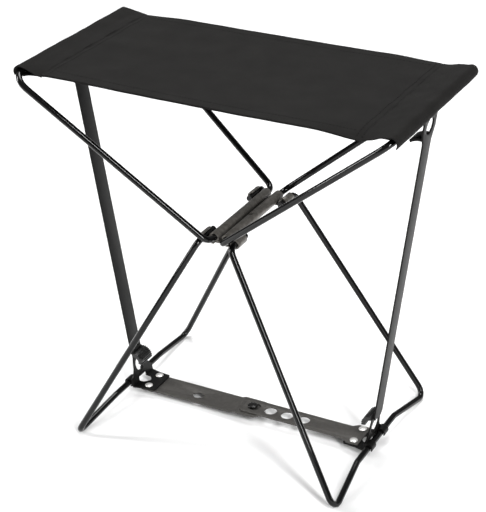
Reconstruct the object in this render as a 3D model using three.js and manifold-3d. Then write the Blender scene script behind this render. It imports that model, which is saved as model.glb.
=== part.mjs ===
// Folding camp stool with a bent-wire frame, in millimetres, +Z up.
// +X runs along the seat, +Y towards its back, and the origin is on the floor under the middle.
// Two wire loops carry the fabric seat and two more are the feet. All four pivot on a pressed steel
// saddle in the middle. A flat strap joins each end of the seat to the foot below it, and two flat
// bars, latched by a stud, hold the feet at their distance.
import * as THREE from 'three';
import { mergeVertices } from 'three/addons/utils/BufferGeometryUtils.js';
import Module from 'manifold-3d';

const wasm = await Module();
wasm.setup();

// ---- driving dimensions ----
const WIRE_RADIUS = 2.5;
const SHEET = 1.2; // thickness of every pressed steel piece
const GAP = 0.3; // play between pieces that touch

const SEAT_END = { x: 153, z: 304.5, halfDepth: 79.4 }; // centre line of the wire at a seat end
const FOOT_END = { x: 116.8, z: 0.66, halfDepth: 89.4 }; // centre line of the wire at a foot corner
const SEAT_PIVOT = { x: 5.3, z: 185.5, halfLength: 53.2 };
const FOOT_PIVOT = { x: 13.8, z: 184.4, halfLength: 53.4 };
const STUB_INNER_END = 29; // how near the middle the foot wire's turned-in ends come
const SEAT_CORNER_RADIUS = 12;
const HUB_CORNER_RADIUS = 8;
const FOOT_CORNER_RADIUS = 7;
const FOOT_RISE = 11; // how far the middle of a foot stands back from its corners, along its slope
const FOOT_MIDDLE_HALF = 36;

const CURL_INNER = WIRE_RADIUS + GAP;
const CURL_OUTER = CURL_INNER + SHEET;

const BARREL_HALF = 43.5;
const SADDLE_TAB = { from: 33.5, to: 46 };

const SEAT_HALF_DEPTH = 76;
const SEAT_TOP = 307.5;
const CLOTH = 1.2;
const SLEEVE_HALF_DEPTH = 71;
const SLEEVE_INNER = 131.5;
const SLEEVE_BORE = CURL_OUTER + 0.4;
const SLEEVE_WALL = 0.8;

const STRAP_WIDTH = 15;
const STRAP_FLARE_WIDTH = 23;
const STRAP_HOLE_RADIUS = 6.6;
const CATCH_HOLE_RADIUS = 7;

const END_PLATE_INNER = 88;
const RIVET = { x: 96, y: 8.8, shank: 2.3, head: 3.4, rise: 0.9 };
const LEFT_BAR_HALF_WIDTH = 12.1;
const RIGHT_BAR_HALF_WIDTH = 9.6;
const BAR_END_HALF_WIDTH = 13.1; // where either bar is riveted to its bracket
const BAR_END = 101;
const BAR_OVERLAP = 9.2; // how far each bar reaches past the middle
const STUD_HOLE_RADIUS = 5.25;
const STUD_HOLE_PITCH = 15.2;
const FIRST_STUD_HOLE = 1.4;
const STUD_HOLES = 4;
const STUD_SHANK = 2.2;

const MIDDLE = footMiddle();

const paint = new THREE.MeshStandardMaterial({ color: 0x141414, roughness: 0.28, metalness: 0.3 });
const darkPlate = new THREE.MeshStandardMaterial({ color: 0x1c1c1b, roughness: 0.4, metalness: 0.4 });
const barSteel = new THREE.MeshStandardMaterial({ color: 0x5c5854, roughness: 0.42, metalness: 0.6 });
const zinc = new THREE.MeshStandardMaterial({ color: 0xc9c7c2, roughness: 0.3, metalness: 0.9 });
const saddleSteel = new THREE.MeshStandardMaterial({ color: 0x6e6b64, roughness: 0.38, metalness: 0.7 });
const moulded = new THREE.MeshStandardMaterial({ color: 0x111111, roughness: 0.6, metalness: 0 });
const cloth = new THREE.MeshStandardMaterial({ color: 0x262523, roughness: 0.9, metalness: 0 });

const group = new THREE.Group();

function add(name, geometry, material) {
  const mesh = new THREE.Mesh(geometry, material);
  mesh.name = name;
  group.add(mesh);
}

// ---- joining and cutting ----
function indexed(geometry) {
  const bare = geometry.clone();
  bare.deleteAttribute('normal');
  bare.deleteAttribute('uv');
  return mergeVertices(bare, 1e-4);
}

function solid(geometry) {
  const merged = indexed(geometry);
  return new wasm.Manifold(
    new wasm.Mesh({
      numProp: 3,
      vertProperties: new Float32Array(merged.attributes.position.array),
      triVerts: new Uint32Array(merged.index.array),
    }),
  );
}

function surface(manifold) {
  const mesh = manifold.getMesh();
  const geometry = new THREE.BufferGeometry();
  geometry.setAttribute('position', new THREE.BufferAttribute(mesh.vertProperties, 3));
  geometry.setIndex(new THREE.BufferAttribute(mesh.triVerts, 1));
  return geometry;
}

function joined(geometries) {
  return geometries.map(solid).reduce((whole, piece) => whole.add(piece));
}

function without(whole, cutters) {
  return cutters.map(solid).reduce((left, cutter) => left.subtract(cutter), whole);
}

// Everything is drawn for the right side. The left side is its mirror image in the YZ plane.
function onSide(side, geometry) {
  if (side > 0) return geometry;
  geometry.scale(-1, 1, 1);
  const index = geometry.index.array;
  for (let i = 0; i < index.length; i += 3) {
    [index[i + 1], index[i + 2]] = [index[i + 2], index[i + 1]];
  }
  return geometry;
}

// ---- basic shapes ----
function footMiddle() {
  const run = FOOT_END.x - FOOT_PIVOT.x;
  const drop = FOOT_END.z - FOOT_PIVOT.z;
  const share = 1 - FOOT_RISE / Math.hypot(run, drop);
  return { x: FOOT_PIVOT.x + run * share, z: FOOT_PIVOT.z + drop * share };
}

// A curve whose steps are its knots, so that an extrusion puts one ring at each of them.
class KnotCurve extends THREE.Curve {
  constructor(knots) {
    super();
    this.knots = knots;
  }

  getPointAt(u, target = new THREE.Vector3()) {
    return target.copy(this.knots[Math.round(u * (this.knots.length - 1))]);
  }

  getTangentAt(u, target = new THREE.Vector3()) {
    const i = Math.round(u * (this.knots.length - 1));
    const before = this.knots[Math.max(i - 1, 0)];
    const here = this.knots[i];
    const after = this.knots[Math.min(i + 1, this.knots.length - 1)];
    const arriving = here.clone().sub(before).normalize();
    const leaving = after.clone().sub(here).normalize();
    return target.copy(arriving.add(leaving)).normalize();
  }
}

// The corner points joined by straight runs, with each inner corner rounded to its radius.
function rounded(corners, radii, steps) {
  const knots = [corners[0]];
  for (let i = 1; i < corners.length - 1; i += 1) {
    const corner = corners[i];
    const back = corners[i - 1].clone().sub(corner).normalize();
    const on = corners[i + 1].clone().sub(corner).normalize();
    const half = back.angleTo(on) / 2;
    const radius = radii[i - 1];
    const reach = radius / Math.tan(half);
    const middle = back.clone().add(on).normalize();
    const centre = corner.clone().addScaledVector(middle, radius / Math.sin(half));
    const first = corner.clone().addScaledVector(back, reach).sub(centre);
    const last = corner.clone().addScaledVector(on, reach).sub(centre);
    const turn = first.angleTo(last);
    for (let step = 0; step <= steps; step += 1) {
      const share = step / steps;
      const a = Math.sin((1 - share) * turn) / Math.sin(turn);
      const b = Math.sin(share * turn) / Math.sin(turn);
      knots.push(centre.clone().addScaledVector(first, a).addScaledVector(last, b));
    }
  }
  knots.push(corners[corners.length - 1]);
  return knots;
}

function wire(knots) {
  const section = new THREE.Shape();
  section.absarc(0, 0, WIRE_RADIUS, 0, 2 * Math.PI);
  return new THREE.ExtrudeGeometry(section, {
    steps: knots.length - 1,
    curveSegments: 7,
    bevelEnabled: false,
    extrudePath: new KnotCurve(knots),
  });
}

function extruded(shape, depth, curveSegments) {
  return new THREE.ExtrudeGeometry(shape, { depth, bevelEnabled: false, curveSegments });
}

// A shape drawn in X and Z, extruded along Y between two places.
function alongY(shape, from, to, curveSegments = 8) {
  return extruded(shape, to - from, curveSegments).rotateX(Math.PI / 2).translate(0, to, 0);
}

// A shape drawn in X and Y, extruded along Z between two heights.
function alongZ(shape, from, to, curveSegments = 10) {
  return extruded(shape, to - from, curveSegments).translate(0, 0, from);
}

function block(x0, x1, y0, y1, z0, z1) {
  const geometry = new THREE.BoxGeometry(x1 - x0, y1 - y0, z1 - z0);
  return geometry.translate((x0 + x1) / 2, (y0 + y1) / 2, (z0 + z1) / 2);
}

function polygon(points) {
  return new THREE.Shape(points.map(([x, y]) => new THREE.Vector2(x, y)));
}

function disc(x, y, radius) {
  const shape = new THREE.Shape();
  shape.absarc(x, y, radius, 0, 2 * Math.PI);
  return shape;
}

// The section of a sheet curled round a wire, open between the two angles given in degrees.
function curl(x, z, openFrom, openTo) {
  const shape = new THREE.Shape();
  const start = THREE.MathUtils.degToRad(openTo);
  const end = THREE.MathUtils.degToRad(openFrom + 360);
  shape.absarc(x, z, CURL_OUTER, start, end, false);
  shape.absarc(x, z, CURL_INNER, end, start, true);
  return shape;
}

// ---- wires ----
function seatWire() {
  const { x: hubX, z: hubZ, halfLength } = SEAT_PIVOT;
  const { x, z, halfDepth } = SEAT_END;
  const corners = [
    new THREE.Vector3(hubX, GAP, hubZ),
    new THREE.Vector3(hubX, halfLength, hubZ),
    new THREE.Vector3(x, halfDepth, z),
    new THREE.Vector3(x, -halfDepth, z),
    new THREE.Vector3(hubX, -halfLength, hubZ),
    new THREE.Vector3(hubX, -GAP, hubZ),
  ];
  const radii = [HUB_CORNER_RADIUS, SEAT_CORNER_RADIUS, SEAT_CORNER_RADIUS, HUB_CORNER_RADIUS];
  return wire(rounded(corners, radii, 5));
}

function footWire() {
  const { x: hubX, z: hubZ, halfLength } = FOOT_PIVOT;
  const half = (ySign) => [
    new THREE.Vector3(hubX, ySign * STUB_INNER_END, hubZ),
    new THREE.Vector3(hubX, ySign * halfLength, hubZ),
    new THREE.Vector3(FOOT_END.x, ySign * FOOT_END.halfDepth, FOOT_END.z),
    new THREE.Vector3(MIDDLE.x, ySign * FOOT_MIDDLE_HALF, MIDDLE.z),
  ];
  const corners = [...half(1), ...half(-1).reverse()];
  const tight = FOOT_CORNER_RADIUS;
  const radii = [tight, tight, 2 * tight, 2 * tight, tight, tight];
  return wire(rounded(corners, radii, 4));
}

// ---- saddle ----
// Two rolled barrels side by side hold the seat wires. Four curled tabs, joined to the barrels by
// the web underneath, hold the turned-in ends of the foot wires.
function saddle() {
  const half = BARREL_HALF;
  const webTop = SEAT_PIVOT.z - CURL_INNER;
  const webBottom = webTop - SHEET - GAP;
  const pieces = [block(-SEAT_PIVOT.x, SEAT_PIVOT.x, -half, half, webBottom, webTop - 0.1)];
  for (const side of [-1, 1]) {
    const barrel = curl(SEAT_PIVOT.x, SEAT_PIVOT.z, 168, 176);
    pieces.push(onSide(side, indexed(alongY(barrel, -half, half))));
    for (const end of [-1, 1]) {
      const near = Math.min(end * SADDLE_TAB.from, end * SADDLE_TAB.to);
      const far = Math.max(end * SADDLE_TAB.from, end * SADDLE_TAB.to);
      const tab = curl(FOOT_PIVOT.x, FOOT_PIVOT.z, 100, 172);
      pieces.push(onSide(side, indexed(alongY(tab, near, far))));
      const link = block(SEAT_PIVOT.x - 1, FOOT_PIVOT.x, near, far, webBottom, webTop - 0.9);
      pieces.push(onSide(side, indexed(link)));
    }
  }
  const bores = [];
  for (const side of [-1, 1]) {
    for (const pivot of [SEAT_PIVOT, FOOT_PIVOT]) {
      bores.push(alongY(disc(side * pivot.x, pivot.z, CURL_INNER), -half - 5, half + 5));
    }
  }
  const dimple = new THREE.CylinderGeometry(1.6, 1.6, 4, 16).rotateX(Math.PI / 2).scale(1, 1.6, 1);
  bores.push(dimple.translate(SEAT_PIVOT.x - 0.6, -3, SEAT_PIVOT.z + CURL_OUTER));
  return surface(without(joined(pieces), bores));
}

// ---- seat ----
function seatPanel() {
  const end = SLEEVE_INNER - GAP;
  return block(-end, end, -SEAT_HALF_DEPTH, SEAT_HALF_DEPTH, SEAT_TOP - CLOTH, SEAT_TOP);
}

// The end of the seat, folded back round the wire and sewn down. It is notched underneath, where
// the strap reaches the wire.
function seatSleeve() {
  const { x, z } = SEAT_END;
  const outer = SLEEVE_BORE + SLEEVE_WALL;
  const shape = new THREE.Shape();
  shape.moveTo(SLEEVE_INNER, SEAT_TOP - CLOTH);
  shape.lineTo(x - outer * Math.sin(0.3), z - outer * Math.cos(0.3));
  shape.absarc(x, z, outer, -Math.PI / 2 - 0.3, Math.PI / 2 + 0.1, false);
  shape.lineTo(SLEEVE_INNER, SEAT_TOP);
  const whole = solid(alongY(shape, -SLEEVE_HALF_DEPTH, SLEEVE_HALF_DEPTH));
  const reach = SLEEVE_HALF_DEPTH + 5;
  const notchHalf = STRAP_FLARE_WIDTH / 2 + 1;
  return surface(
    without(whole, [
      alongY(disc(x, z, SLEEVE_BORE), -reach, reach),
      block(x - 11, x + 3.5, -notchHalf, notchHalf, z - 12, z - 1),
    ]),
  );
}

// ---- side straps and catch plates ----
// Both are drawn standing against a line that rises straight up from the wire at the foot, then
// leaned outwards to reach the wire at the end of the seat.
const LEAN = Math.atan2(SEAT_END.x - MIDDLE.x, SEAT_END.z - MIDDLE.z);
const REACH = Math.hypot(SEAT_END.x - MIDDLE.x, SEAT_END.z - MIDDLE.z);
const CATCH_FACE = -CURL_INNER; // the plate's outer face, inside the wire
const STRAP_FACE = CATCH_FACE + GAP; // the strap's inner face, just outside the plate
const KNUCKLE = { from: 5.5, to: 12 };

function leaned(geometry) {
  return geometry.rotateY(LEAN).translate(MIDDLE.x, 0, MIDDLE.z);
}

// A sheet drawn in Y and Z, with its thickness along X.
function upright(shape, x0, x1, curveSegments = 12) {
  const sheet = extruded(shape, x1 - x0, curveSegments);
  return sheet.rotateX(Math.PI / 2).rotateZ(Math.PI / 2).translate(x0, 0, 0);
}

function sideStrap() {
  const half = STRAP_WIDTH / 2;
  const flare = STRAP_FLARE_WIDTH / 2;
  const bottom = 20.5;
  const flareStart = REACH - 31;
  const flareEnd = REACH - 21;
  const top = REACH - 3;
  const notch = REACH - 9;
  const outline = polygon([
    [-half + 2, bottom],
    [half - 2, bottom],
    [half, bottom + 3],
    [half, flareStart],
    [flare, flareEnd],
    [flare, top],
    [KNUCKLE.from, top],
    [KNUCKLE.from, notch],
    [-KNUCKLE.from, notch],
    [-KNUCKLE.from, top],
    [-flare, top],
    [-flare, flareEnd],
    [-half, flareStart],
    [-half, bottom + 3],
  ]);
  outline.holes.push(disc(0, REACH - 18, STRAP_HOLE_RADIUS));
  const pieces = [upright(outline, STRAP_FACE, STRAP_FACE + SHEET)];
  for (const end of [-1, 1]) {
    const near = Math.min(end * KNUCKLE.from, end * KNUCKLE.to);
    pieces.push(alongY(curl(0, REACH, -60, 10), near, near + KNUCKLE.to - KNUCKLE.from));
  }
  pieces.push(alongY(stopTab(), -half, half));
  const cut = alongY(disc(0, REACH, CURL_INNER), -20, 20, 12);
  return leaned(surface(without(joined(pieces), [cut])));
}

// A tongue under the upper hole that stands out inwards and droops a little.
function stopTab() {
  const shape = new THREE.Shape();
  const root = REACH - 27;
  shape.moveTo(STRAP_FACE + 0.2, root - 1);
  shape.lineTo(STRAP_FACE + 0.2, root + 1.2);
  shape.quadraticCurveTo(STRAP_FACE - 6, root + 1.2, STRAP_FACE - 10, root - 2.6);
  shape.lineTo(STRAP_FACE - 8.8, root - 4.2);
  shape.quadraticCurveTo(STRAP_FACE - 5.2, root - 1, STRAP_FACE + 0.2, root - 1);
  return shape;
}

// The ribbed grip over the catch: a band that curls inwards and down, with ribs across it.
function thumbTab() {
  const centre = { x: CATCH_FACE - SHEET - GAP + 0.2, z: 16.5 };
  const outer = 7;
  const inner = 4.2;
  const ribs = 8;
  const shape = new THREE.Shape();
  shape.moveTo(centre.x - 0.2, centre.z + inner);
  shape.lineTo(centre.x - 0.2, centre.z + outer);
  for (let rib = 0; rib < ribs; rib += 1) {
    for (const [share, height] of [[0.12, 0], [0.32, 0.8], [0.68, 0.8], [0.88, 0]]) {
      const angle = Math.PI / 2 + ((rib + share) / ribs) * (Math.PI * 0.62);
      const radius = outer + height;
      shape.lineTo(centre.x + radius * Math.cos(angle), centre.z + radius * Math.sin(angle));
    }
  }
  for (let step = 8; step >= 1; step -= 1) {
    const angle = Math.PI / 2 + (step / 8) * (Math.PI * 0.62);
    shape.lineTo(centre.x + inner * Math.cos(angle), centre.z + inner * Math.sin(angle));
  }
  return leaned(indexed(alongY(shape, -8.3, 8.3)));
}

// ---- bottom bars ----
const END_PLATE_TOP = MIDDLE.z - CURL_INNER;
const END_PLATE_BOTTOM = END_PLATE_TOP - SHEET;
const LEFT_BAR_TOP = END_PLATE_BOTTOM - GAP;
const RIGHT_BAR_BOTTOM = END_PLATE_TOP + GAP;
const LEG_KNUCKLE = { from: 8.5, to: 16 };
const WINDOW_HALF = 5.6;

// One stamping at each foot: an upright leg with the catch hole, a flat leg under the bars, a
// window where they meet, and two knuckles curled over the wire.
function lowerBracket() {
  const top = 27;
  const half = LEG_KNUCKLE.to;
  const narrow = STRAP_WIDTH / 2 + 0.6;
  const leg = new THREE.Shape();
  leg.moveTo(-half, CATCH_FACE - SHEET - 0.3);
  leg.lineTo(half, CATCH_FACE - SHEET - 0.3);
  leg.lineTo(half, 2.5);
  leg.quadraticCurveTo(narrow + 1.4, 6, narrow + 1.4, 13);
  leg.lineTo(narrow, 20);
  leg.lineTo(narrow, top - 3);
  leg.lineTo(narrow - 3, top);
  leg.lineTo(-narrow + 3, top);
  leg.lineTo(-narrow, top - 3);
  leg.lineTo(-narrow, 20);
  leg.lineTo(-narrow - 1.4, 13);
  leg.quadraticCurveTo(-narrow - 1.4, 6, -half, 2.5);
  leg.holes.push(disc(0, 12, CATCH_HOLE_RADIUS));
  const pieces = [leaned(upright(leg, CATCH_FACE - SHEET, CATCH_FACE))];
  for (const end of [-1, 1]) {
    const near = Math.min(end * LEG_KNUCKLE.from, end * LEG_KNUCKLE.to);
    const knuckle = alongY(curl(0, 0, -110, -25), near, near + LEG_KNUCKLE.to - LEG_KNUCKLE.from);
    pieces.push(leaned(knuckle));
  }

  const inner = END_PLATE_INNER;
  const outer = MIDDLE.x + CATCH_FACE - SHEET + 0.4;
  const plate = new THREE.Shape();
  plate.moveTo(inner, -11.6);
  plate.lineTo(inner, 11.6);
  plate.quadraticCurveTo(inner, BAR_END_HALF_WIDTH, inner + 1.5, BAR_END_HALF_WIDTH);
  plate.quadraticCurveTo(inner + 12, BAR_END_HALF_WIDTH + 0.6, outer, half);
  plate.lineTo(outer, -half);
  plate.quadraticCurveTo(inner + 12, -BAR_END_HALF_WIDTH - 0.6, inner + 1.5, -BAR_END_HALF_WIDTH);
  plate.quadraticCurveTo(inner, -BAR_END_HALF_WIDTH, inner, -11.6);
  for (const end of [-1, 1]) plate.holes.push(disc(RIVET.x, end * RIVET.y, RIVET.shank + GAP));
  pieces.push(alongZ(plate, END_PLATE_BOTTOM, END_PLATE_TOP));

  const window = new THREE.Shape();
  window.moveTo(MIDDLE.x - 1, -WINDOW_HALF);
  window.lineTo(MIDDLE.x - 1, WINDOW_HALF);
  window.lineTo(MIDDLE.x - 6.5, WINDOW_HALF);
  window.quadraticCurveTo(MIDDLE.x - 9.5, WINDOW_HALF, MIDDLE.x - 12.4, 0);
  window.quadraticCurveTo(MIDDLE.x - 9.5, -WINDOW_HALF, MIDDLE.x - 6.5, -WINDOW_HALF);
  window.lineTo(MIDDLE.x - 1, -WINDOW_HALF);
  return surface(without(joined(pieces), [alongZ(window, END_PLATE_BOTTOM - 2, MIDDLE.z + 1.5)]));
}

// The left bar lies under its end plate. Its free end is stepped up to meet the right bar.
function leftBar() {
  const step = RIGHT_BAR_BOTTOM - GAP - LEFT_BAR_TOP;
  const stepAt = -FIRST_STUD_HOLE - 11;
  const side = polygon([
    [-BAR_END - 1, LEFT_BAR_TOP - SHEET],
    [stepAt - 4, LEFT_BAR_TOP - SHEET],
    [stepAt, LEFT_BAR_TOP - SHEET + step],
    [BAR_OVERLAP, LEFT_BAR_TOP - SHEET + step],
    [BAR_OVERLAP, LEFT_BAR_TOP + step],
    [stepAt, LEFT_BAR_TOP + step],
    [stepAt - 4, LEFT_BAR_TOP],
    [-BAR_END - 1, LEFT_BAR_TOP],
  ]);
  const half = LEFT_BAR_HALF_WIDTH;
  const wide = BAR_END_HALF_WIDTH;
  const plan = polygon([
    [-BAR_END, -wide],
    [-END_PLATE_INNER - 3, -wide],
    [-END_PLATE_INNER - 1, -half],
    [BAR_OVERLAP - 3, -half],
    [BAR_OVERLAP, -half + 3],
    [BAR_OVERLAP, half - 3],
    [BAR_OVERLAP - 3, half],
    [-END_PLATE_INNER - 1, half],
    [-END_PLATE_INNER - 3, wide],
    [-BAR_END, wide],
  ]);
  for (const end of [-1, 1]) plan.holes.push(disc(-RIVET.x, end * RIVET.y, RIVET.shank + GAP));
  plan.holes.push(disc(0, 0, STUD_SHANK + GAP));
  plan.holes.push(lens(-51.5, -1.5, 5.6, 4.2));
  const flat = solid(alongZ(plan, 0, 20));
  return surface(solid(alongY(side, -wide - 5, wide + 5)).intersect(flat));
}

// A small pointed slot.
function lens(x, y, halfLength, halfWidth) {
  const path = new THREE.Path();
  path.moveTo(x - halfLength, y);
  path.quadraticCurveTo(x, y - 2 * halfWidth, x + halfLength, y);
  path.quadraticCurveTo(x, y + 2 * halfWidth, x - halfLength, y);
  return path;
}

// The right bar lies on its end plate and widens to it. A row of holes gives the stud four places.
function rightBar() {
  const half = RIGHT_BAR_HALF_WIDTH;
  const wide = BAR_END_HALF_WIDTH;
  const plan = polygon([
    [-BAR_OVERLAP + 3, -half],
    [END_PLATE_INNER - 1, -half],
    [END_PLATE_INNER + 3, -wide],
    [BAR_END, -wide],
    [BAR_END, wide],
    [END_PLATE_INNER + 3, wide],
    [END_PLATE_INNER - 1, half],
    [-BAR_OVERLAP + 3, half],
    [-BAR_OVERLAP, half - 3],
    [-BAR_OVERLAP, -half + 3],
  ]);
  for (let hole = 0; hole < STUD_HOLES; hole += 1) {
    plan.holes.push(disc(FIRST_STUD_HOLE + hole * STUD_HOLE_PITCH, 0, STUD_HOLE_RADIUS));
  }
  for (const end of [-1, 1]) plan.holes.push(disc(RIVET.x, end * RIVET.y, RIVET.shank + GAP));
  return alongZ(plan, RIGHT_BAR_BOTTOM, RIGHT_BAR_BOTTOM + SHEET);
}

function lathe(profile, segments) {
  const points = profile.map(([r, z]) => new THREE.Vector2(r, z));
  return new THREE.LatheGeometry(points, segments).rotateX(Math.PI / 2);
}

// A rivet with a low round head at each end, through a stack of two sheets.
function rivet(x, y, bottom, top) {
  const low = bottom - GAP;
  const high = top + GAP;
  const { shank, head, rise } = RIVET;
  const profile = [
    [0, low - rise],
    [head * 0.55, low - rise * 0.85],
    [head, low - rise * 0.3],
    [head, low],
    [shank, low],
    [shank, high],
    [head, high],
    [head, high + rise * 0.3],
    [head * 0.85, high + rise * 0.65],
    [head * 0.55, high + rise * 0.9],
    [0, high + rise],
  ];
  return indexed(lathe(profile, 20)).translate(x, y, 0);
}

// The latch stud is riveted into the left bar and its cap stands above the right one.
function latchStud() {
  const barBottom = RIGHT_BAR_BOTTOM - GAP - SHEET;
  const capBottom = RIGHT_BAR_BOTTOM + SHEET + GAP;
  const profile = [
    [0, barBottom - GAP - 0.8],
    [4, barBottom - GAP - 0.8],
    [4, barBottom - GAP],
    [STUD_SHANK, barBottom - GAP],
    [STUD_SHANK, RIGHT_BAR_BOTTOM],
    [3.4, RIGHT_BAR_BOTTOM],
    [3.4, capBottom],
    [4.4, capBottom],
    [4.4, capBottom + 0.6],
    [3.6, capBottom + 1.1],
    [0, capBottom + 1.2],
  ];
  return indexed(lathe(profile, 24));
}

// ---- assembly ----
add('hinge_saddle', saddle(), saddleSteel);
add('seat_fabric', seatPanel(), cloth);
for (const [side, word] of [[-1, 'left'], [1, 'right']]) {
  add(`${word}_seat_wire`, onSide(side, indexed(seatWire())), paint);
  add(`${word}_foot_wire`, onSide(side, indexed(footWire())), paint);
  add(`${word}_seat_sleeve`, onSide(side, seatSleeve()), cloth);
  add(`${word}_side_strap`, onSide(side, sideStrap()), darkPlate);
  add(`${word}_lower_bracket`, onSide(side, lowerBracket()), darkPlate);
  add(`${word}_thumb_tab`, onSide(side, thumbTab()), moulded);
  const bottom = side < 0 ? LEFT_BAR_TOP - SHEET : END_PLATE_BOTTOM;
  const top = side < 0 ? END_PLATE_TOP : RIGHT_BAR_BOTTOM + SHEET;
  add(`${word}_front_rivet`, rivet(side * RIVET.x, -RIVET.y, bottom, top), zinc);
  add(`${word}_back_rivet`, rivet(side * RIVET.x, RIVET.y, bottom, top), zinc);
}
add('left_bottom_bar', leftBar(), barSteel);
add('right_bottom_bar', rightBar(), barSteel);
add('latch_stud', latchStud(), barSteel);

export default group;
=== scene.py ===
"""A folding camp stool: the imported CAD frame, dressed with a sewn cloth seat and painted steel."""
import math

import bmesh
import bpy
from mathutils import Matrix, Vector, noise


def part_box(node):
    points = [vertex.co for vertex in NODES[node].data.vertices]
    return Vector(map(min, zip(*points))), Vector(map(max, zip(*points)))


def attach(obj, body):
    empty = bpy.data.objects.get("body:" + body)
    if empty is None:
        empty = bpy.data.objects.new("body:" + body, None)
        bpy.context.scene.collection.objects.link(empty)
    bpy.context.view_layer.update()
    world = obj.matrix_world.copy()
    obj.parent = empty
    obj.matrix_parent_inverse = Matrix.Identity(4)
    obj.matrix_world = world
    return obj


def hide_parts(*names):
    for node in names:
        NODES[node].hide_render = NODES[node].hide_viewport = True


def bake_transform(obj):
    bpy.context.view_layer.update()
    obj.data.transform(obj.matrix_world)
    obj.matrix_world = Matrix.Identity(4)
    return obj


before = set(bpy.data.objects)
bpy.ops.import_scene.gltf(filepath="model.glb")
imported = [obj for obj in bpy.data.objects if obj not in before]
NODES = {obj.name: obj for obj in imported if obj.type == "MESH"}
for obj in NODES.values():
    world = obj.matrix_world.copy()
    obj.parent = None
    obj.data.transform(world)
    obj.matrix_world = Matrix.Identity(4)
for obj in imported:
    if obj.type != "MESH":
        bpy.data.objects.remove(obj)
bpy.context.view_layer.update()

SIDES = {"left": -1, "right": 1}
EDGES = {-1: "front", 1: "back"}

# ---- places taken from the frame ----
WIRE_RADIUS = 0.0025
PANEL_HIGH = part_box("seat_fabric")[1]
SLEEVE_LOW, SLEEVE_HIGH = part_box("right_seat_sleeve")
SEAT_WIRE_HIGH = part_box("right_seat_wire")[1]
SEAT_TOP = PANEL_HIGH.z
END_X = SEAT_WIRE_HIGH.x - WIRE_RADIUS  # centre line of the wire at a seat end
END_Z = SEAT_WIRE_HIGH.z - WIRE_RADIUS

# ---- the seat's cut and sewing ----
CLOTH = 0.0009
HALF_DEPTH = PANEL_HIGH.y
SLIP = 0.0045  # how far the cloth has slid along the wires: forwards at the right, back at the left
FLAP_HALF_DEPTH = SLEEVE_HIGH.y - 0.006
SAG = 0.0022
CORNER_DROOP = {(-1, -1): 0.0006, (1, -1): 0.003, (1, 1): 0.0014, (-1, 1): 0.0018}  # by side and edge
SLEEVE_RADIUS = 0.0047  # of the cloth's middle surface round the wire
COVER_TURN = math.radians(125)  # how far the cover goes round the wire from the top
FLAP_TURN = math.radians(205)  # and how far the flap under it
SEAM_ROWS = (0.0012, 0.0052)  # how far the two stitch rows lie inside the sleeve's edge
SEAM_X = SLEEVE_LOW.x + 0.0005
HEM = 0.009
STITCH = 0.0026
THREAD = 0.00028

# ---- how the meshes are shaded ----
CLOTH_SMOOTHING = 50  # degrees, the sharpest edge that the cloth's shading runs over
METAL_SMOOTHING = 50
WELD_REACH = 0.000005
EDGE_SOFTNESS = 0.0002  # width of the bevel on a pressed piece's edges
EDGE_ANGLE = 40  # degrees, the gentlest edge that gets one


# ---- materials ----
def new_material(name):
    material = bpy.data.materials.new(name)
    material.use_nodes = True
    return material, material.node_tree.nodes, material.node_tree.links


def node(nodes, kind, **inputs):
    made = nodes.new(kind)
    for key, value in inputs.items():
        made.inputs[key].default_value = value
    return made


def object_noise(nodes, links, scale, detail=3.0):
    """Noise fixed to the object, and the coordinates it reads."""
    where = nodes.new("ShaderNodeTexCoord")
    made = node(nodes, "ShaderNodeTexNoise", Scale=scale, Detail=detail)
    links.new(where.outputs["Object"], made.inputs["Vector"])
    return made


def ramp(nodes, links, source, low, high, dark, light):
    """Colours between dark and light as the source goes from low to high."""
    made = nodes.new("ShaderNodeValToRGB")
    made.color_ramp.elements[0].position = low
    made.color_ramp.elements[0].color = (*dark, 1)
    made.color_ramp.elements[1].position = high
    made.color_ramp.elements[1].color = (*light, 1)
    links.new(source, made.inputs["Fac"])
    return made


def spread(nodes, links, source, low, high):
    """A value between low and high, for the shader's roughness."""
    made = node(nodes, "ShaderNodeMapRange")
    made.inputs["To Min"].default_value = low
    made.inputs["To Max"].default_value = high
    links.new(source, made.inputs["Value"])
    return made


def painted_metal(name, dark, light, roughness, metallic, bump, specular):
    """A hard finish, such as painted steel: faint mottling in the colour, and an uneven gloss."""
    material, nodes, links = new_material(name)
    shader = nodes["Principled BSDF"]
    shader.inputs["Metallic"].default_value = metallic
    shader.inputs["Specular IOR Level"].default_value = specular
    mottle = object_noise(nodes, links, 320)
    colours = ramp(nodes, links, mottle.outputs["Fac"], 0.35, 0.7, dark, light)
    links.new(colours.outputs["Color"], shader.inputs["Base Color"])
    gloss = object_noise(nodes, links, 420, 4.0)
    uneven = spread(nodes, links, gloss.outputs["Fac"], *roughness)
    links.new(uneven.outputs["Result"], shader.inputs["Roughness"])
    grain = object_noise(nodes, links, 900, 2.0)
    relief = node(nodes, "ShaderNodeBump", Strength=bump, Distance=0.0002)
    links.new(grain.outputs["Fac"], relief.inputs["Height"])
    links.new(relief.outputs["Normal"], shader.inputs["Normal"])
    return material


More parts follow.
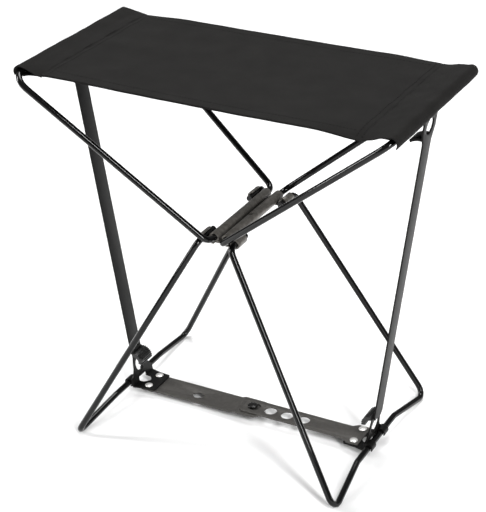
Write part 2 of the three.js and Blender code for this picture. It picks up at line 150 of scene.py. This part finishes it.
def woven_cloth(name, dark, light):
    """A plain weave of fine threads, with a soft sheen at grazing angles."""
    material, nodes, links = new_material(name)
    shader = nodes["Principled BSDF"]
    shader.inputs["Roughness"].default_value = 0.86
    shader.inputs["Sheen Weight"].default_value = 0.02
    shader.inputs["Sheen Roughness"].default_value = 0.4
    shader.inputs["Specular IOR Level"].default_value = 0.12
    where = nodes.new("ShaderNodeTexCoord")
    threads = []
    for direction in ("X", "Y"):
        made = node(nodes, "ShaderNodeTexWave", Scale=520.0, Distortion=0.6, Detail=1.0)
        made.bands_direction = direction
        links.new(where.outputs["Object"], made.inputs["Vector"])
        threads.append(made)
    weave = nodes.new("ShaderNodeMath")
    weave.operation = "MAXIMUM"
    links.new(threads[0].outputs["Fac"], weave.inputs[0])
    links.new(threads[1].outputs["Fac"], weave.inputs[1])
    shade = object_noise(nodes, links, 60)
    colours = ramp(nodes, links, shade.outputs["Fac"], 0.3, 0.75, dark, light)
    deepen = node(nodes, "ShaderNodeMix")
    deepen.data_type = "RGBA"
    deepen.blend_type = "MULTIPLY"
    deepen.inputs["Factor"].default_value = 0.35
    links.new(colours.outputs["Color"], deepen.inputs["A"])
    links.new(weave.outputs["Value"], deepen.inputs["B"])
    links.new(deepen.outputs["Result"], shader.inputs["Base Color"])
    relief = node(nodes, "ShaderNodeBump", Strength=0.35, Distance=0.0002)
    links.new(weave.outputs["Value"], relief.inputs["Height"])
    links.new(relief.outputs["Normal"], shader.inputs["Normal"])
    return material


def floor_material():
    material, nodes, links = new_material("pale_floor")
    shader = nodes["Principled BSDF"]
    shader.inputs["Roughness"].default_value = 0.9
    shade = object_noise(nodes, links, 3)
    colours = ramp(nodes, links, shade.outputs["Fac"], 0.3, 0.7, (0.86, 0.86, 0.86), (0.9, 0.9, 0.9))
    links.new(colours.outputs["Color"], shader.inputs["Base Color"])
    return material


BLACK_PAINT = painted_metal(
    "black_paint", dark=(0.0015,) * 3, light=(0.003,) * 3,
    roughness=(0.06, 0.11), metallic=0.0, bump=0.02, specular=0.3)
DARK_PLATE = painted_metal(
    "dark_plate", dark=(0.0025,) * 3, light=(0.004, 0.0038, 0.0035),
    roughness=(0.34, 0.46), metallic=0.0, bump=0.05, specular=0.12)
BRACKET = painted_metal(
    "bracket", dark=(0.006,) * 3, light=(0.01, 0.0095, 0.009),
    roughness=(0.3, 0.42), metallic=0.4, bump=0.06, specular=0.2)
BAR_STEEL = painted_metal(
    "bar_steel", dark=(0.06, 0.057, 0.053), light=(0.075, 0.071, 0.066),
    roughness=(0.44, 0.56), metallic=0.3, bump=0.05, specular=0.3)
SADDLE_STEEL = painted_metal(
    "saddle_steel", dark=(0.1, 0.094, 0.084), light=(0.17, 0.16, 0.146),
    roughness=(0.3, 0.44), metallic=0.5, bump=0.05, specular=0.5)
STUD_STEEL = painted_metal(
    "stud_steel", dark=(0.005,) * 3, light=(0.008, 0.0075, 0.007),
    roughness=(0.2, 0.35), metallic=0.3, bump=0.05, specular=0.4)
ZINC = painted_metal(
    "zinc", dark=(0.78, 0.77, 0.75), light=(0.88, 0.87, 0.85),
    roughness=(0.3, 0.42), metallic=0.75, bump=0.04, specular=0.5)
MOULDED = painted_metal(
    "moulded_tab", dark=(0.008,) * 3, light=(0.014,) * 3,
    roughness=(0.2, 0.32), metallic=0.0, bump=0.05, specular=0.5)
CLOTH_BLACK = woven_cloth("seat_cloth", dark=(0.0058, 0.0054, 0.005), light=(0.0085, 0.008, 0.0075))
THREAD_BLACK = painted_metal(
    "thread", dark=(0.002,) * 3, light=(0.005, 0.0048, 0.0045),
    roughness=(0.6, 0.8), metallic=0.0, bump=0.2, specular=0.1)


# ---- mesh helpers ----
def mesh_object(name, vertices, faces, material, smooth=True):
    mesh = bpy.data.meshes.new(name)
    mesh.from_pydata([tuple(v) for v in vertices], [], faces)
    mesh.materials.append(material)
    if smooth:
        mesh.polygons.foreach_set("use_smooth", [True] * len(mesh.polygons))
    made = bpy.data.objects.new(name, mesh)
    bpy.context.scene.collection.objects.link(made)
    return made


def shell(name, rows, thickness, material):
    """A closed sheet from a grid of points, thickened evenly to both sides of them."""
    count = len(rows[0])
    vertices = [point for row in rows for point in row]
    faces = []
    for i in range(len(rows) - 1):
        for k in range(count - 1):
            a = i * count + k
            faces.append((a, a + 1, a + count + 1, a + count))
    made = mesh_object(name, vertices, faces, material)
    thick = made.modifiers.new("thickness", "SOLIDIFY")
    thick.thickness = thickness
    thick.offset = 0
    thick.use_even_offset = True
    with_modifiers_applied(made)
    return made


def with_modifiers_applied(obj):
    """Keeps the finished shape as the object's own mesh, smoothly shaded except at its sharp edges."""
    depsgraph = bpy.context.evaluated_depsgraph_get()
    finished = bpy.data.meshes.new_from_object(obj.evaluated_get(depsgraph))
    obj.modifiers.clear()
    obj.data = finished
    finished.polygons.foreach_set("use_smooth", [True] * len(finished.polygons))
    finished.set_sharp_from_angle(angle=math.radians(CLOTH_SMOOTHING))


# ---- seat ----
def edge_depth(x, edge):
    """Distance of the cloth's front (edge -1) or back (edge 1) hem from the middle."""
    share = max(-1, min(x / END_X, 1))
    tuck = 0.0015 * share**2
    return HALF_DEPTH - tuck - edge * SLIP * share


def place_across(x, across):
    return across * edge_depth(x, 1 if across > 0 else -1)


def seat_height(x, across):
    """Height of the stretched cloth; across runs from -1 at the front edge to 1 at the back."""
    along = min(abs(x) / SEAM_X, 1)
    dip = SAG * (1 - along**2) * (0.45 + 0.55 * (1 - across**2))
    ripple = 0.0003 * noise.noise(Vector((x * 40, across * 3, 2.0)))
    pucker = 0.00035 * math.sin(across * 15) * math.exp((along - 1) * 6)
    groove = 0.0003 * math.exp(-(((along - 0.985) / 0.012) ** 2))
    return SEAT_TOP - CLOTH / 2 - dip + ripple + pucker - groove - droop(x, across)


def droop(x, across):
    """The hems hang a little either side of each seam, where nothing stretches them."""
    share = abs(x) / SEAM_X
    near_seam = smooth_step((share - 0.7) / 0.3) if share < 1 else 1 - smooth_step((share - 1) / 0.12)
    corner = (1 if x > 0 else -1, 1 if across > 0 else -1)
    return CORNER_DROOP[corner] * near_seam * abs(across) ** 12


def smooth_step(share):
    share = max(0, min(share, 1))
    return share * share * (3 - 2 * share)


def seat_half(word, side):
    """From the middle of the seat to the sewn edge of its sleeve."""
    columns, across_steps = 60, 36
    rows = []
    for i in range(columns + 1):
        x = side * SEAM_X * i / columns
        row = []
        for k in range(across_steps + 1):
            across = -1 + 2 * k / across_steps
            row.append(Vector((x, place_across(x, across), seat_height(x, across))))
        rows.append(row)
    if side > 0:
        rows.reverse()
    return shell(f"{word}_seat_cloth", rows, CLOTH, CLOTH_BLACK)


def round_wire(angle):
    """A point of the sleeve, in X and Z, at this angle back from the top of the wire."""
    return END_X + SLEEVE_RADIUS * math.sin(angle), END_Z + SLEEVE_RADIUS * math.cos(angle)


def swept(name, side, profile, depth_at, across_steps):
    """A sheet that carries a profile in X and Z from front to back, with faint creases."""
    rows = []
    for x, z in profile:
        row = []
        for k in range(across_steps + 1):
            across = -1 + 2 * k / across_steps
            y = across * depth_at(side * x, 1 if across > 0 else -1)
            crease = 0.0005 * noise.noise(Vector((x * 130, y * 60, 7.0 + side)))
            fade = min(1, (x - SEAM_X) / 0.006)
            row.append(Vector((side * x, y, z + crease * fade - droop(x, across))))
        rows.append(row)
    if side < 0:
        rows.reverse()
    return shell(name, rows, CLOTH, CLOTH_BLACK)


def sleeve_cover(word, side):
    """The end of the cloth, from the seam over the top of the wire and down its outside."""
    flat_steps, turn_steps = 8, 12
    start_z = SEAT_TOP - CLOTH / 2
    rise = END_Z + SLEEVE_RADIUS - start_z
    profile = []
    for i in range(flat_steps):
        share = i / flat_steps
        profile.append((SEAM_X + (END_X - SEAM_X) * share, start_z + rise * share**1.5))
    profile += [round_wire(COVER_TURN * i / turn_steps) for i in range(turn_steps + 1)]
    return swept(f"{word}_sleeve_cover", side, profile, edge_depth, 56)


def sleeve_flap(word, side):
    """The rest of the sleeve, cut narrower, from under the wire back up to the seam."""
    turn_steps, flat_steps = 8, 8
    profile = []
    for i in range(turn_steps + 1):
        profile.append(round_wire(COVER_TURN + (FLAP_TURN - COVER_TURN) * i / turn_steps))
    last_x, last_z = profile[-1]
    end_z = SEAT_TOP - CLOTH * 2.2
    for i in range(1, flat_steps + 1):
        share = i / flat_steps
        profile.append((last_x + (SEAM_X - last_x) * share, last_z + (end_z - last_z) * share))
    return swept(f"{word}_sleeve_flap", side, profile, lambda x, edge: FLAP_HALF_DEPTH, 48)


def stitch_row(name, points, material):
    """Short raised threads, one after the other along a line of points."""
    made = bmesh.new()
    for start, end in zip(points[:-1], points[1:]):
        along = end - start
        middle = start + along / 2
        turn = along.to_track_quat("X", "Z").to_matrix().to_4x4()
        size = Matrix.Diagonal((along.length * 0.36, THREAD, THREAD * 0.8, 1))
        place = Matrix.Translation(middle) @ turn @ size
        bmesh.ops.create_icosphere(made, subdivisions=1, radius=1, matrix=place)
    mesh = bpy.data.meshes.new(name)
    made.to_mesh(mesh)
    made.free()
    mesh.materials.append(material)
    mesh.polygons.foreach_set("use_smooth", [True] * len(mesh.polygons))
    obj = bpy.data.objects.new(name, mesh)
    bpy.context.scene.collection.objects.link(obj)
    return obj


def seam_points(side, inset):
    x = side * (SEAM_X - inset)
    count = int(2 * HALF_DEPTH / STITCH)
    points = []
    for i in range(count + 1):
        across = (-1 + 2 * i / count) * 0.975
        height = seat_height(x, across) + CLOTH / 2 + THREAD * 0.2
        points.append(Vector((x, place_across(x, across), height)))
    return points


def hem_points(side, edge):
    """The row of stitches along the front or back hem of one half."""
    length = SEAM_X - HEM
    count = int(length / STITCH)
    points = []
    for i in range(count + 1):
        x = side * (0.001 + length * i / count)
        across = edge * (1 - HEM / edge_depth(x, edge))
        height = seat_height(x, across) + CLOTH / 2 + THREAD * 0.1
        points.append(Vector((x, place_across(x, across), height)))
    return points


def hem(word, side, edge):
    """The folded-under edge of the cloth, which doubles it along the front or the back."""
    columns, steps = 48, 5
    rows = []
    for i in range(columns + 1):
        x = side * (SEAM_X - 0.001) * i / columns
        row = []
        for k in range(steps + 1):
            inset = HEM * 1.25 * k / steps + 0.0003
            across = edge * (1 - inset / edge_depth(x, edge))
            row.append(Vector((x, place_across(x, across), seat_height(x, across) - CLOTH * 1.02)))
        rows.append(row)
    if side * edge < 0:
        rows.reverse()
    return shell(f"{word}_{EDGES[edge]}_hem", rows, CLOTH, CLOTH_BLACK)


def build_seat():
    for word, side in SIDES.items():
        seat_body = f"{word}_seat_frame"

        def bend(piece):
            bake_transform(piece)
            return piece

        cloth = bend(seat_half(word, side))
        if side < 0:
            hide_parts("seat_fabric")
        for edge, edge_word in EDGES.items():
            bend(hem(word, side, edge))
            name = f"{word}_{edge_word}_hem_stitches"
            bend(stitch_row(name, hem_points(side, edge), THREAD_BLACK))
        for number, inset in enumerate(SEAM_ROWS, start=1):
            name = f"{word}_seam_stitches_{number}"
            bend(stitch_row(name, seam_points(side, inset), THREAD_BLACK))

        cover, flap = sleeve_cover(word, side), sleeve_flap(word, side)
        for piece in (cover, flap):
            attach(piece, seat_body)
        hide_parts(f"{word}_seat_sleeve")


# ---- finishes of the CAD pieces ----
def set_material(obj, material):
    obj.data.materials.clear()
    obj.data.materials.append(material)


def weld(obj):
    """Joins the CAD's loose triangles and drops their flat normals, so that shading runs across them."""
    obj.data.attributes.remove(obj.data.attributes["custom_normal"])
    obj.data.polygons.foreach_set("use_smooth", [True] * len(obj.data.polygons))
    modifier = obj.modifiers.new("weld", "WELD")
    modifier.merge_threshold = WELD_REACH


def crease(obj):
    """Keeps the sharpest edges crisp, and lets the shading run over the rest."""
    modifier = obj.modifiers.new("crease", "EDGE_SPLIT")
    modifier.split_angle = math.radians(METAL_SMOOTHING)
    modifier.use_edge_sharp = False


def soften(obj):
    """Rounds a pressed piece's sharp edges a little, so that they catch the light."""
    bevel = obj.modifiers.new("edge", "BEVEL")
    bevel.width = EDGE_SOFTNESS
    bevel.segments = 2
    bevel.limit_method = "ANGLE"
    bevel.angle_limit = math.radians(EDGE_ANGLE)


def dress_cad():
    finishes = {
        "wire": BLACK_PAINT,
        "side_strap": DARK_PLATE,
        "lower_bracket": BRACKET,
        "thumb_tab": MOULDED,
        "bottom_bar": BAR_STEEL,
        "rivet": ZINC,
        "latch_stud": STUD_STEEL,
        "hinge_saddle": SADDLE_STEEL,
        "sleeve": CLOTH_BLACK,
        "seat_fabric": CLOTH_BLACK,
    }
    for name, obj in NODES.items():
        kind = next(key for key in finishes if key in name)
        set_material(obj, finishes[kind])
        weld(obj)
        if kind not in ("wire", "sleeve", "seat_fabric"):
            soften(obj)
        crease(obj)


# ---- stage, light and camera ----
FLOOR_HALF = 3.0
LIGHT_DISTANCE = 2.0
LIGHT_AIM = (0, 0, 0.2)


def build_stage():
    half = FLOOR_HALF
    corners = [(-half, -half, 0), (half, -half, 0), (half, half, 0), (-half, half, 0)]
    floor = mesh_object("floor", corners, [(0, 1, 2, 3)], floor_material(), smooth=False)


def soft_box(name, direction, width, height, power):
    """A rectangular light that faces the stool from this direction."""
    away = Vector(direction).normalized()
    data = bpy.data.lights.new(name, "AREA")
    data.shape = "RECTANGLE"
    data.size = width
    data.size_y = height
    data.energy = power
    made = bpy.data.objects.new(name, data)
    made.location = Vector(LIGHT_AIM) + away * LIGHT_DISTANCE
    made.rotation_euler = (-away).to_track_quat("-Z", "Y").to_euler()
    bpy.context.scene.collection.objects.link(made)


def build_light():
    world = bpy.data.worlds.new("studio")
    bpy.context.scene.world = world
    world.use_nodes = True
    background = world.node_tree.nodes["Background"]
    background.inputs["Color"].default_value = (1, 1, 1, 1)
    background.inputs["Strength"].default_value = 0.22
    bpy.context.scene.view_settings.view_transform = "Standard"
    soft_box("front_right", (0.66, -0.5, 0.5), width=0.24, height=1.7, power=52)
    soft_box("top", (-0.1, 0.35, 1.0), width=1.0, height=1.0, power=34)
    soft_box("left", (-0.9, -0.35, 0.45), width=0.3, height=1.5, power=30)


CAMERA = {
    "azimuth": 29.13, "elevation": 27.77, "roll": -1.81, "distance": 1.20516,
    "target": (-0.00496, 0, 0.14873), "focal": 107.25,
}


def build_camera():
    azimuth = math.radians(CAMERA["azimuth"])
    elevation = math.radians(CAMERA["elevation"])
    roll = math.radians(CAMERA["roll"])
    back = Vector((
        math.sin(azimuth) * math.cos(elevation),
        -math.cos(azimuth) * math.cos(elevation),
        math.sin(elevation),
    ))
    right = Vector((math.cos(azimuth), math.sin(azimuth), 0))
    up = back.cross(right)
    tilted_right = right * math.cos(roll) + up * math.sin(roll)
    tilted_up = up * math.cos(roll) - right * math.sin(roll)
    data = bpy.data.cameras.new("camera")
    data.lens = CAMERA["focal"]
    data.sensor_width = 36
    data.clip_end = 20
    made = bpy.data.objects.new("camera", data)
    made.matrix_world = Matrix((
        (tilted_right.x, tilted_up.x, back.x, 0),
        (tilted_right.y, tilted_up.y, back.y, 0),
        (tilted_right.z, tilted_up.z, back.z, 0),
        (0, 0, 0, 1),
    ))
    made.location = Vector(CAMERA["target"]) + back * CAMERA["distance"]
    bpy.context.scene.collection.objects.link(made)
    bpy.context.scene.camera = made


build_camera()
dress_cad()
build_seat()
build_stage()
build_light()
